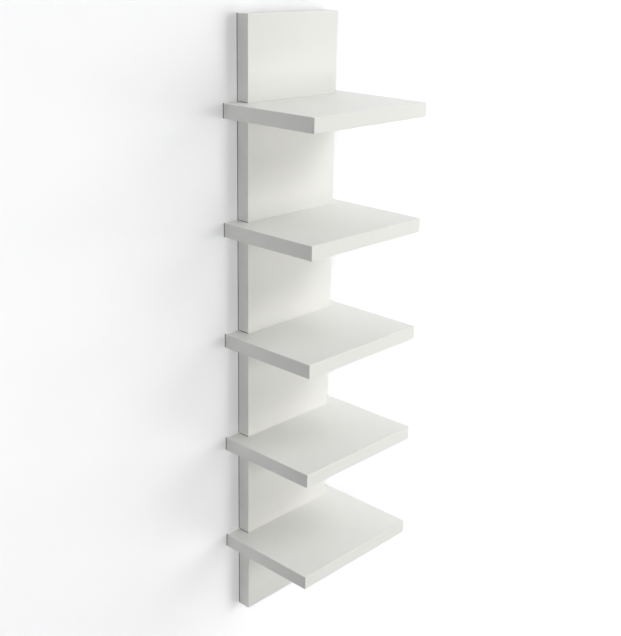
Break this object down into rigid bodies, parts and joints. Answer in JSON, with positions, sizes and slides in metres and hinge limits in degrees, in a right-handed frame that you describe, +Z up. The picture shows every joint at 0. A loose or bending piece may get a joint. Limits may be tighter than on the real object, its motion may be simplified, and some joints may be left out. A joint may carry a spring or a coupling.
{
  "type": "floating shelf unit",
  "caption": "Wall-hung shelf unit: an upright spine board carrying evenly spaced notched shelves, hung on keyhole plates let into its back.",
  "frame": {"origin": "middle of the spine board's back face, half way up and half way across, on the wall plane", "axes": "+Z up along the spine, +Y into the wall, so the shelf fronts face -Y; +X to the right for a person who stands in front"},
  "size_m": [0.3, 0.22, 1.2],
  "materials": {
    "white_board": "smooth satin white lacquer or foil on a wood-fibre board, crisp eased edges",
    "zinc_plate": "zinc-plated pressed sheet steel, slightly cloudy",
    "zinc_screw": "bright zinc-plated steel screw",
    "beech_dowel": "bare fluted beech"
  },
  "bodies": {
    "root": {"spine_board": "white_board", "shelf_1": "white_board", "shelf_2": "white_board", "shelf_3": "white_board", "shelf_4": "white_board", "shelf_5": "white_board", "shelf_1_screw_left": "zinc_screw", "shelf_1_screw_right": "zinc_screw", "shelf_2_screw_left": "zinc_screw", "shelf_2_screw_right": "zinc_screw", "shelf_3_screw_left": "zinc_screw", "shelf_3_screw_right": "zinc_screw", "shelf_4_screw_left": "zinc_screw", "shelf_4_screw_right": "zinc_screw", "shelf_5_screw_left": "zinc_screw", "shelf_5_screw_right": "zinc_screw", "shelf_1_dowel_left": "beech_dowel", "shelf_1_dowel_right": "beech_dowel", "shelf_2_dowel_left": "beech_dowel", "shelf_2_dowel_right": "beech_dowel", "shelf_3_dowel_left": "beech_dowel", "shelf_3_dowel_right": "beech_dowel", "shelf_4_dowel_left": "beech_dowel", "shelf_4_dowel_right": "beech_dowel", "shelf_5_dowel_left": "beech_dowel", "shelf_5_dowel_right": "beech_dowel", "hanger_plate_upper_left": "zinc_plate", "hanger_plate_upper_right": "zinc_plate", "hanger_plate_lower_left": "zinc_plate", "hanger_plate_lower_right": "zinc_plate", "hanger_screw_upper_left_top": "zinc_screw", "hanger_screw_upper_left_bottom": "zinc_screw", "hanger_screw_upper_right_top": "zinc_screw", "hanger_screw_upper_right_bottom": "zinc_screw", "hanger_screw_lower_left_top": "zinc_screw", "hanger_screw_lower_left_bottom": "zinc_screw", "hanger_screw_lower_right_top": "zinc_screw", "hanger_screw_lower_right_bottom": "zinc_screw"}
  },
  "joints": []
}
